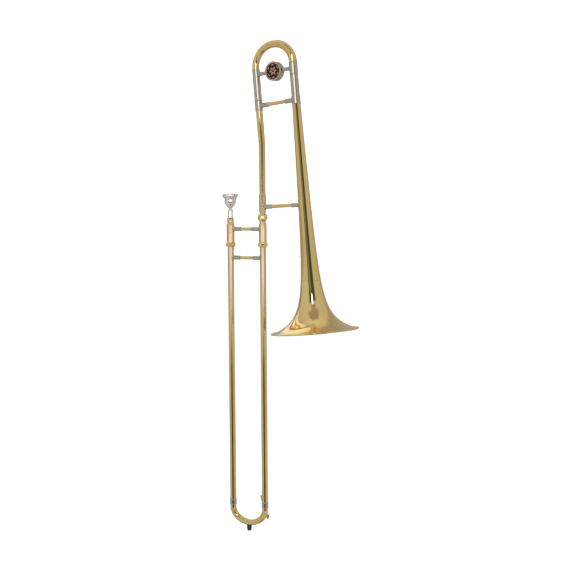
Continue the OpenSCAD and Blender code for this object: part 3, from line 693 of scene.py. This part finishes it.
def lock_nut():
    radius, bottom, top = reach("bell_lock_nut", BELL_TUBE)
    middle = JOINTS["bell_lock_turn"]["pos_m"][2]
    skirt, lip = 7.1 * MM, 7.4 * MM
    thread, neck_bore, hollow = 6.68 * MM, 7.7 * MM, 8.9 * MM
    outline = [(thread, bottom), (lip, bottom), (lip, bottom + 1.2 * MM), (skirt, bottom + 1.6 * MM)]
    start, stop = (math.degrees(math.asin(rise / radius)) for rise in (-7.4 * MM, top - middle))
    outline += [(min(radius, r / GRIP_BAND), z)
                for r, z in arc((0, middle), (radius, radius), start, stop, 32)]
    outline += [(neck_bore, top), (neck_bore, top - 3 * MM), (hollow, top - 3.4 * MM),
                (hollow, bottom + 14 * MM), (thread, bottom + 13.6 * MM)]
    dress(turned("lock_nut", outline, BELL_TUBE, fillet=0.3 * MM), "bell_lock_nut")


def mouthpiece():
    """Cup, rim, throat and tapered shank as one smooth turned piece."""
    radius, bottom, top = reach("mouthpiece", MOUTH_TUBE)
    outside = [(5.3, 0), (5.85, 39.5), (6.2, 41.5), (6.0, 43.2), (5.0, 45.2), (4.5, 46.6), (5.3, 48.2),
               (8.0, 50.8), (10.3, 53.6), (11.9, 56.2), (13.0, 59), (13.5, 62.5), (13.6, 66), (13.6, 68.4),
               (14.6, 70.2), (16.8, 72.4), (18.2, 74.6), (18.5, 76.6), (18.4, 78.8), (17.4, 80.5), (15.4, 81)]
    inside = [(13.6, 80.2), (12.8, 78.4), (12.5, 75), (12.1, 68), (10.6, 61.5), (7.4, 57.2), (4.4, 55),
              (3.25, 52), (3.2, 49), (3.6, 38), (4.2, 20), (4.7, 0)]
    size = (top - bottom) / 81
    curve = [(v.x * size, bottom + v.y * size) for v in
             [Vector(outside[0]), *smooth_line(outside[1:], 6), *smooth_line(inside[:-1], 6),
              Vector(inside[-1])]]
    curve = [(min(r, radius), min(z, top)) for r, z in curve]
    dress(turned("mouthpiece_turned", curve, MOUTH_TUBE, fillet=0), "mouthpiece")


def bumper():
    """The rubber tip. Its top rises round the bow's underside, and its foot is domed."""
    radius, bottom, top = reach("rubber_bumper", HERE)
    bow_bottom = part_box("slide_bow")[0].z
    neck = bow_bottom - 0.8 * MM
    height = neck - bottom
    outline = [(0, bow_bottom + 0.3 * MM), (radius - 2 * MM, bow_bottom + 0.9 * MM), (radius, top),
               (radius, neck), (radius, neck - 0.14 * height), (radius * 0.96, neck - 0.22 * height),
               (radius * 0.92, neck - 0.66 * height)]
    dome = 0.34 * height
    outline += [*arc((0.36 * radius, bottom + dome), (0.54 * radius, -dome), 0, 90, 8), (0, bottom)]
    dress(turned("bumper_tip", outline, HERE, fillet=0.3 * MM, closed=False), "rubber_bumper")


# ---------- Water key ----------

KEY_PIVOT = Vector(JOINTS["water_key_press"]["pos_m"])


def key_place():
    """The nipple's own axes: Z points out of it, from the middle of the bow's tube."""
    place, polar, azimuth = (math.radians(a) for a in (-29, 109, 45))
    foot = BOW_CORNER + Vector((math.cos(place), 0, math.sin(place))) * BOW_CORNER_R
    tip = Matrix.Rotation(azimuth, 4, "Z") @ Matrix.Rotation(polar, 4, "Y")
    return Matrix.Translation(foot) @ tip


def key_cup(place):
    """The domed cup that holds the cork."""
    cork_r, _low, cork_top = reach("water_key_cork", place)
    cup_r = 5.2 * MM
    height = 2 * MM
    skirt = cork_top - 1.7 * MM
    shoulder = cork_top + 0.4 * MM
    outline = [(0, cork_top), (cork_r, cork_top), (cork_r, skirt), (cup_r, skirt),
               *arc((0.2 * cup_r, shoulder), (0.8 * cup_r, height - 0.4 * MM), 0, 90, 8),
               (0, cork_top + height)]
    return turned("cup", outline, place, fillet=0.12 * MM, sides=48, closed=False)


def water_key():
    """A lever of two bent arms on a hub, with a pad to press and the cup at the nipple."""
    place = key_place()
    cork_low, cork_top = reach("water_key_cork", place)[1:]
    tube = BELL_TUBE.translation
    touch = Vector((tube.x - 15 * MM, 9.5 * MM, BOW_TOP + 22 * MM))
    elbow = Vector((tube.x - 13.5 * MM, 12.2 * MM, BOW_TOP + 11 * MM))
    shoulder = KEY_PIVOT + Vector((-1, 3.6, 0.8)) * MM
    knee = Vector((tube.x - 4 * MM, 14.2 * MM, BOW_TOP - 13 * MM))
    cap = place @ Vector((0, 0, cork_top + 1.6 * MM))
    arm_r = 1.15 * MM
    pieces = [key_cup(place)]
    for points in ((touch, elbow, shoulder, KEY_PIVOT + Vector((-1, 1.5, -0.5)) * MM),
                   (KEY_PIVOT + Vector((-1, 1.5, 0.5)) * MM, shoulder, knee, cap)):
        path = smooth_line(points, 12)
        pieces.append(swept("arm", path, [arm_r] * len(path), sides=20))
    hub_place = Matrix.Translation(KEY_PIVOT + Vector((-0.95 * MM, 0, 0))) @ ALONG_X
    pieces.append(turned("hub", sleeve(1.06 * MM, 2.4 * MM, -1.25 * MM, 1.25 * MM), hub_place, sides=40))
    pad = [(0, 0.35), (1.6, 0.25), (2.5, 0.75), (2.8, 0.4), (2.6, -0.5), (1.4, -0.85), (0, -0.95)]
    face = axes(Vector((1, 0, 0)), UP, Vector((0, -1, 0)), touch + UP * 1.5 * MM)
    face = face @ Matrix.Rotation(math.radians(-20), 4, "Y") @ Matrix.Diagonal((0.9, 1.25, 1, 1))
    pieces.append(turned("pad", [(r * MM, z * MM) for r, z in pad], face, sides=40, closed=False))
    dress(join("water_key_arm", pieces), "water_key_lever")

    cork_r = 3.6 * MM
    inset = 0.1 * MM
    disc = [(0, cork_low), (cork_r - inset, cork_low), (cork_r, cork_low + inset),
            (cork_r, cork_top - inset), (0, cork_top - inset)]
    dress(turned("key_cork", disc, place, fillet=0.1 * MM, sides=48, closed=False), "water_key_cork")


def key_spring():
    low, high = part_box("water_key_spring")
    wire = 0.26 * MM
    coil = 1.7 * MM
    turns, steps_a_turn = 3, 24
    steps = turns * steps_a_turn
    start, stop = low.x + wire, high.x - wire
    path = [Vector((start, KEY_PIVOT.y - coil, low.z + wire))]
    for i in range(steps + 1):
        a = 2 * math.pi * i / steps_a_turn
        x = start + (stop - start) * i / steps
        path.append(Vector((x, KEY_PIVOT.y - coil * math.cos(a), KEY_PIVOT.z + coil * math.sin(a))))
    path.append(Vector((stop, KEY_PIVOT.y - coil, high.z - wire)))
    dress(swept("key_spring_coil", path, [wire] * len(path), sides=12), "water_key_spring")


# ---------- Bell section ----------

NECK_R = 7.2 * MM
FERRULE_BEAD = 0.5 * MM
SLEEVE_BEAD = 0.9 * MM
BRACE_SOCKET = 20 * MM
LEG_GAP = sum(v.x for v in span("bell_sleeve", NECK_LEG)) / 2


def neckpipe():
    """The lower straight, the shallow bend and the leaning top of the neck, swept in one go."""
    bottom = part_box("neckpipe")[0].z
    top = reach("neckpipe", NECK_LEG)[2]
    wide = 7.9 * MM
    bend_start = 4 * MM
    taper_start = 110 * MM
    axis = BELL_TUBE.translation.xy
    # the leaning axis meets the upright one where both have the same X and Y
    rise = (NECK_LEG.translation.xy - axis).length / LEAN.xy.length
    corner = NECK_LEG.translation - LEAN * rise
    start = Vector((*axis, corner.z - bend_start))
    path = [Vector((*axis, bottom)), Vector((*axis, taper_start)),
            *bend(start, corner, corner + LEAN * bend_start, 12), NECK_LEG @ Vector((0, 0, top))]
    lengths = [0]
    for a, b in zip(path, path[1:]):
        lengths.append(lengths[-1] + (b - a).length)
    straight = lengths[1]
    radii = [NECK_R + (wide - NECK_R) * max(0, d - straight) / (lengths[-1] - straight) for d in lengths]
    dress(swept("neck", path, radii, sides=72), "neckpipe")


def neck_fittings():
    radius, bottom, top = reach("neckpipe_ring", NECK)
    bead = 0.6 * MM
    ring = sleeve(NECK_R, radius - bead, bottom, top, [((bottom + top) / 2, bead, 0.9 * MM)])
    dress(turned("neck_ring", ring, NECK), "neckpipe_ring")
    radius, bottom, top = reach("neckpipe_sleeve", NECK)
    outline = [(NECK_R, bottom), (radius, bottom), (radius, top - 4.4 * MM),
               (radius - 0.25 * MM, top - 3.2 * MM), (NECK_R + 0.4 * MM, top - 0.4 * MM), (NECK_R, top)]
    dress(turned("neck_sleeve", outline, NECK, fillet=0.4 * MM), "neckpipe_sleeve")


def leg_tube(node, place, bore, z, bead, half):
    """A straight tube on a leaning leg, with one bead at a height from its foot or, below 0, its top."""
    radius, bottom, top = reach(node, place)
    height = z + (bottom if z > 0 else top)
    outline = sleeve(bore, radius - bead, bottom, top, [(height, bead, half)])
    dress(turned(node + "_turned", outline, place, fillet=0.2 * MM), node)


def tuning_tubes():
    neck_r = reach("neck_slide_leg", NECK_LEG)[0]
    leg_r = reach("crook_slide_leg", BELL_LEG)[0]
    play = 0.06 * MM
    on_sleeve = reach("bell_sleeve", BELL_LEG)[0] - SLEEVE_BEAD
    leg_tube("neck_ferrule", NECK_LEG, neck_r, 1.2 * MM, FERRULE_BEAD, 0.8 * MM)
    leg_tube("crook_sleeve", NECK_LEG, neck_r + play, 1.2 * MM, SLEEVE_BEAD, 1.1 * MM)
    leg_tube("crook_ferrule", BELL_LEG, leg_r, -1.0 * MM, FERRULE_BEAD, 0.8 * MM)
    leg_tube("bell_sleeve", BELL_LEG, leg_r + play, -1.1 * MM, SLEEVE_BEAD, 1.0 * MM)
    leg_tube("bell_ferrule", BELL_LEG, on_sleeve, 1.1 * MM, FERRULE_BEAD, 0.8 * MM)


def upper_brace():
    neck_r = reach("neck_ferrule", NECK_LEG)[0] - FERRULE_BEAD
    bell_r = reach("bell_ferrule", BELL_LEG)[0] - FERRULE_BEAD
    rod_r = reach("upper_brace_tube", NECK_LEG)[0]
    place = raised(NECK_LEG, height_of("upper_brace_tube", NECK_LEG))
    socket_r = reach("upper_brace_sockets", place)[2] - SOCKET_FOOT
    brace("upper_brace", place, neck_r, bell_r, LEG_GAP, BRACE_SOCKET, socket_r, rod_r)


RIM_R, RIM_S, _rim_top = reach("bell_rim_wire", BELL_LEG)
RIM_R -= INSET
STEM_S = reach("bell", BELL_LEG)[2]
STEM_R = 17.8 * MM
STEM_TAPER = 0.0166
FLARE_LENGTH = 62 * MM
FLARE_POWER = 2.275
BELL_WALL = 0.6 * MM


def bell_radius(t):
    """The bell's outer radius at a distance t from its rim: a straight taper plus a flare."""
    return STEM_R - STEM_TAPER * t + (RIM_R - STEM_R) * (1 + t / FLARE_LENGTH) ** -FLARE_POWER


def bell_slope(t):
    step = 0.01 * MM
    return (bell_radius(t + step) - bell_radius(t)) / step


def bell():
    """One spun sheet: the outside, the rim rolled over its wire, and the inside."""
    length = STEM_S - RIM_S
    wire = 1.5 * MM
    first = 1.25 * MM
    steps, crowding = 190, 2.1  # the rings crowd towards the rim
    heights = [first + (length - first) * (i / steps) ** crowding for i in range(steps + 1)]
    outside = [(bell_radius(t), t) for t in heights]
    inside = []
    for t in heights:
        slant = math.hypot(1, bell_slope(t))
        inside.append((bell_radius(t) - BELL_WALL / slant, t + BELL_WALL * bell_slope(t) / slant))
    inside[-1] = (inside[-1][0], length)
    rolled = arc((RIM_R - wire, wire), (wire, wire), 165, -165, 20)
    bm = bmesh.new()
    layer = bm.verts.layers.float.new("from_rim")
    for ring in turn(bm, [*reversed(outside), *rolled, *inside], sides=160):
        for vert in ring:
            vert[layer] = vert.co.z
    sheet = finish_mesh("bell_spun", bm, raised(BELL_LEG, RIM_S), crisp=50)
    dress(sheet, "bell", "bell_rim_wire", material=bell_brass())


def lower_brace():
    """From the neck's sleeve to the plate on the bell's stem."""
    neck_r = reach("neckpipe_sleeve", NECK)[0]
    middle = centre("lower_brace_tube")
    height = height_of("bell_flange", BELL_LEG)
    flange = BELL_LEG @ Vector((0, 0, height))
    # the brace's line runs through the rod's middle to the bell's axis at the plate's height
    direction = (flange - middle).normalized()
    start = middle + direction * ((BELL_TUBE.translation.xy - middle.xy).length / -direction.xy.length)
    place = axes(direction, ACROSS, direction.cross(ACROSS), start)
    plate = 0.94 * MM
    bell_r = bell_radius(height - RIM_S) + plate
    rod_r = reach("lower_brace_tube", place)[0]
    socket_r = reach("lower_brace_sockets", place)[0] - SOCKET_FOOT
    brace("lower_brace", place, neck_r, bell_r, (flange - start).length, BRACE_SOCKET, socket_r, rod_r,
          sink=0.3 * MM)


def bell_flange():
    from_rim = height_of("bell_flange", BELL_LEG) - RIM_S
    clear = 0.04 * MM
    plate = diamond("bell_plate", "bell_flange", BELL_LEG, math.pi,
                    lambda z: bell_radius(from_rim + z) + clear, 0.85 * MM, 0.5 * MM)
    dress(plate, "bell_flange")


# ---------- Tuning slide ----------

def tuning_crook():
    """A slightly flat arch whose tube widens from the neck side to the bell side."""
    narrow, wide = 7.95 * MM, 9.2 * MM
    steps = 72
    foot = reach("crook_sleeve", NECK_LEG)[2]
    rise = reach("tuning_crook", NECK_LEG)[2] - foot - (narrow + wide) / 2 - INSET
    place = NECK_LEG @ Matrix.Translation((LEG_GAP / 2, 0, foot))
    path = arc_path((0, 0), (LEG_GAP / 2, rise), 180, 0, steps)
    radii = [narrow + (wide - narrow) * i / steps for i in range(steps + 1)]
    dress(swept("crook", path, radii, sides=64, place=place), "tuning_crook")


def weight_place():
    return axes(OUT, LEAN, -ACROSS, centre("counterweight"))


def counterweight():
    """A disc with a knurled edge, a copper ring and a domed enamel face."""
    place = weight_place()
    radius, bottom, top = reach("counterweight", place)
    teeth, points_a_tooth = 110, 6
    band = 1.7 * MM
    depth = 0.35 * MM

    def knurl(angle, r, z):
        on_side = r > radius - 1.2 * depth and bottom + band < z < top - band
        return -depth * (0.5 - 0.5 * math.cos(teeth * angle)) if on_side else 0

    recess = radius - 1.6 * MM
    floor_z = top - 1.2 * MM
    edge = 0.8 * MM
    step = 0.1 * MM
    back = [(0, bottom), (radius - 6 * MM, bottom), (radius - 5.6 * MM, bottom + 0.4 * MM),
            (radius - 5.2 * MM, bottom), (radius - edge, bottom), (radius, bottom + edge)]
    side = [(radius, bottom + band), (radius - step, bottom + band + 2 * step),
            (radius - step, top - band - 2 * step), (radius, top - band)]
    front = [(radius, top - edge), (radius - edge, top), (recess, top), (recess, floor_z), (0, floor_z)]
    body = turned("weight_body", back + side + front, place, fillet=0.12 * MM,
                  sides=teeth * points_a_tooth, closed=False, ripple=knurl)
    dress(body, "counterweight")

    ring_r, low, high = reach("weight_ring", place)
    face_r, _low, face_top = reach("weight_face", place)
    half = (ring_r - face_r) / 2
    crown = 0.3 * MM
    # the corner where the crown starts is given twice, so it stays sharp
    ring = [(face_r, low), (ring_r, low), (ring_r, high - crown),
            *arc((face_r + half, high - crown), (half, crown), 0, 180, 8)]
    dress(turned("weight_ring_turned", ring, place, fillet=0.05 * MM), "weight_ring")

    dome = 0.25 * MM
    shares = [1 - step / 12 for step in range(13)]
    disc = [(0, low), (face_r, low), *((face_r * k, face_top - dome * k * k) for k in shares)]
    dress(turned("weight_enamel", disc, place, fillet=0.05 * MM, closed=False), "weight_face")
    rosette(place, face_r, face_top - 0.12 * MM)


def rosette(place, radius, height):
    """A plain six-petal flower in a ring of short bars, raised in copper on the enamel."""
    bm = bmesh.new()
    petals = 6
    relief = 0.3 * MM

    def pebble(distance, angle, long, wide, spin=0.0):
        ball = bmesh.ops.create_uvsphere(bm, u_segments=20, v_segments=10, radius=1)
        at = Vector((math.cos(angle), math.sin(angle), 0)) * distance * radius + UP * height
        turn_it = Matrix.Rotation(angle + spin, 4, "Z")
        size = Matrix.Diagonal((long * radius, wide * radius, relief, 1))
        bmesh.ops.transform(bm, verts=ball["verts"], matrix=Matrix.Translation(at) @ turn_it @ size)

    for a in round_angles(petals):
        pebble(0.33, a, 0.23, 0.115)
        pebble(0.8, a + math.pi / petals, 0.2, 0.07, spin=math.pi / 2)
    dress(finish_mesh("weight_rosette", bm, place), "weight_ring", stands=False)


def tuning_brace():
    """Two stubs that hold the counterweight, each with a collar at its ends."""
    place = weight_place()
    low, high = span("tuning_brace", place)
    stub_r = (high.y - low.y) / 2 - SOCKET_FOOT
    free = LEG_GAP / 2 - reach("counterweight", place)[0]
    sleeve_r = reach("crook_sleeve", NECK_LEG)[0] - SLEEVE_BEAD
    ferrule_r = reach("crook_ferrule", BELL_LEG)[0] - FERRULE_BEAD
    near = raised(NECK_LEG, (place.translation - NECK_LEG.translation).dot(LEAN))
    far = opposite(near, LEG_GAP)
    into_weight = 0.6 * MM
    stubs = [brace_socket(tube_r, free - tube_r + into_weight, stub_r, where)
             for where, tube_r in ((near, sleeve_r), (far, ferrule_r))]
    dress(join("tuning_brace_stubs", stubs), "tuning_brace")


# ---------- Frame nodes that keep their shape ----------

def dress_frame_nodes():
    """The inner and hidden parts keep their frame shapes and get their materials."""
    for node, piece in frame["nodes"].items():
        piece.data.materials.clear()
        piece.data.materials.append(MATERIALS[SLOTS[node]])


# ---------- Stage, light and camera ----------

CAMERA_PLACE = Vector((1.2245, -2.365, 0.0747))
CAMERA_TURN = math.radians(25.45)  # from the +Y axis towards -X
CAMERA_PITCH = math.radians(4.45)  # looking down
CAMERA_ROLL = math.radians(-0.4)
LENS = 71.58


def camera():
    data = bpy.data.cameras.new("camera")
    data.lens = LENS
    data.sensor_width = 36
    data.clip_end = 60
    eye = new_object("camera", data)
    facing = Matrix.Rotation(CAMERA_TURN, 4, "Z") @ Matrix.Rotation(math.pi / 2 - CAMERA_PITCH, 4, "X")
    roll = Matrix.Rotation(CAMERA_ROLL, 4, "Z")
    eye.matrix_world = Matrix.Translation(CAMERA_PLACE) @ facing @ roll
    bpy.context.scene.camera = eye


def floor():
    """It lies below the slide's whole travel, because the instrument is held by its grip."""
    low, _high = cad_box
    travel = JOINTS["slide_travel"]["range_m"][1]
    bpy.ops.mesh.primitive_plane_add(size=40, location=(0, 0, low.z - travel - 10 * MM))
    plane = bpy.context.object
    plane.name = "studio_floor"
    material, tree, shader = new_material("studio_floor")
    tone = ramp(tree, noise_at(tree, 3.0), [(0.3, (0.95, 0.95, 0.95)), (0.7, (0.97, 0.97, 0.97))])
    feed(tree, shader, {"Base Color": tone, "Roughness": 0.9, "Specular IOR Level": 0.1})
    plane.data.materials.append(material)
    plane.visible_glossy = False


LIGHT_BY_HEIGHT = (
    (0.0, (0.6, 0.59, 0.56)), (0.5, (0.63, 0.63, 0.61)), (0.82, (0.66, 0.66, 0.63)), (0.93, (0.8, 0.8, 0.74)))

PANELS = (  # azimuths and heights in degrees, colour, and how soft the sides and the ends are
    ((115, 200), (-100, 60), (0.43, 0.42, 0.38), 14, 10),  # dim walls behind, to the right and left
    ((-200, -115), (-100, 60), (0.4, 0.39, 0.35), 14, 10),
    ((-168, -122), (14, 62), (1.2, 1.18, 1.1), 6, 6),
    ((-118, -58), (-5, 0.6), (0.42, 0.4, 0.34), 10, 0.8),  # side walls at the slide tubes' height
    ((62, 118), (-5, 0.6), (0.5, 0.48, 0.4), 10, 0.8),
    ((-52, 48), (-4.9, -1.4), (1.1, 1.2, 2.3), 16, 0.5),  # bright bands before the tubes
    ((-44, 30), (-1.5, -0.8), (1.15, 1.12, 1.15), 10, 0.3),
    ((-38, 29), (-18, -7.6), (0.07, 0.09, 0.085), 5, 1.3),  # dark gaps below and above them
    ((-31, 27), (-0.6, 31), (0.07, 0.09, 0.085), 5, 0.3),
    ((-22, -8), (3, 19), (0.3, 0.34, 0.3), 3, 2),
    ((-8, -1), (22.5, 34), (8, 8, 7.8), 1.5, 1.2),  # a small lamp
    ((-18, 18), (34.5, 48), (0.4, 0.39, 0.33), 6, 2),
    ((-50, 42), (46, 80), (0.4, 0.39, 0.33), 10, 5),
    ((-22, 22), (-78, -54), (0.05, 0.05, 0.05), 5, 5),
)


def studio():
    """A white room for the eye and for soft light, and panels with dark gaps for the reflections."""
    world = bpy.data.worlds.new("studio")
    bpy.context.scene.world = world
    world.use_nodes = True
    tree = world.node_tree
    tree.nodes.clear()

    def window(value, low, high, soft):
        """1 where the value lies between low and high, with soft edges."""
        sides = [mapped(tree, value, (edge - soft, edge + soft), after, interpolation_type="SMOOTHSTEP")
                 for edge, after in ((low, (0, 1)), (high, (1, 0)))]
        return maths(tree, "MULTIPLY", *sides)

    where = add(tree, "TexCoord", {}).outputs["Generated"]
    facing = add(tree, "Mapping", {"Vector": where, "Rotation": (0, 0, -CAMERA_TURN)})
    split = add(tree, "SeparateXYZ", {"Vector": facing.outputs["Vector"]}).outputs
    # azimuth 0 points at the camera's place, and grows towards the right of its view
    towards = maths(tree, "MULTIPLY", split["Y"], -1)
    azimuth = maths(tree, "DEGREES", maths(tree, "ARCTAN2", split["X"], towards))
    height = maths(tree, "DEGREES", maths(tree, "ARCSINE", split["Z"]))
    light = ramp(tree, mapped(tree, height, (-90, 90)), LIGHT_BY_HEIGHT)
    for az, el, colour, soft_az, soft_el in PANELS:
        mask = maths(tree, "MULTIPLY", window(azimuth, *az, soft_az), window(height, *el, soft_el))
        light = mixed(tree, mask, light, colour)

    reflections = add(tree, "Background", {"Color": light}).outputs["Background"]
    plain = add(tree, "Background", {"Color": (1, 1, 1, 1), "Strength": 1.2}).outputs["Background"]
    rays = add(tree, "LightPath", {}).outputs
    soft_rays = maths(tree, "MAXIMUM", rays["Is Camera Ray"], rays["Is Diffuse Ray"])
    mix = add(tree, "MixShader", {0: soft_rays, 1: reflections, 2: plain})
    add(tree, "OutputWorld", {"Surface": mix.outputs["Shader"]})
    bpy.context.scene.view_settings.view_transform = "Standard"


def area_light(name, size, energy, at, facing):
    """A rectangle of light that faces along a direction."""
    data = bpy.data.lights.new(name, "AREA")
    data.shape = "RECTANGLE"
    data.size, data.size_y = size
    data.energy = energy
    lamp = new_object(name, data)
    lamp.location = at
    lamp.rotation_mode = "QUATERNION"
    lamp.rotation_quaternion = facing.to_track_quat("-Z", "Y")
    return lamp


def key_light():
    """A large soft panel up to the camera's left."""
    at = Vector((-1.6, -2.2, 2.0))
    area_light("soft_panel", (1.6, 1.2), 22, at, -at).visible_glossy = False


def card(name, at, size, radiance, near, aside, shows_on):
    """A card of light before a part, which shows only in the polish of the pieces given."""
    to_camera = Vector((math.sin(CAMERA_TURN), -math.cos(CAMERA_TURN), 0))
    to_its_right = Vector((math.cos(CAMERA_TURN), math.sin(CAMERA_TURN), 0))
    energy = radiance * math.pi * size[0] * size[1]
    lamp = area_light(name, size, energy, Vector(at) + near * to_camera + aside * to_its_right, -to_camera)
    lamp.visible_camera = False
    lamp.visible_diffuse = False
    lamp.visible_transmission = False
    lit = bpy.data.collections.new(name + "_shows_on")
    for piece in shows_on:
        lit.objects.link(piece)
    lamp.light_linking.receiver_collection = lit


def cards():
    """One card before the tuning slide's legs, and one before the mouthpiece and the lock nut."""
    legs = (centre("neck_slide_leg") + centre("bell_sleeve")) / 2
    turned_bright = [bpy.data.objects[name] for name in ("mouthpiece_turned", "lock_nut")]
    left_out = (*turned_bright, bpy.data.objects["bell_spun"], bpy.data.objects["studio_floor"])
    others = [piece for piece in bpy.data.objects if piece.type == "MESH" and piece not in left_out]
    card("leg_card", (legs.x, legs.y, 0.47), (0.36, 0.27), 1.8, 0.5, -0.08, others)
    card("cup_card", (0, 0, 0.09), (0.26, 0.16), 1.5, 0.3, -0.02, turned_bright)


dress_frame_nodes()
outer_slide_tubes()
end_rings()
slide_bow()
cork_barrels()
lock_ring()
slide_braces()
slide_flanges()
receiver()
lock_nut()
mouthpiece()
bumper()
water_key()
key_spring()
neckpipe()
neck_fittings()
tuning_tubes()
upper_brace()
bell()
lower_brace()
bell_flange()
tuning_crook()
counterweight()
tuning_brace()
floor()
studio()
key_light()
cards()
camera()

bpy.context.view_layer.update()
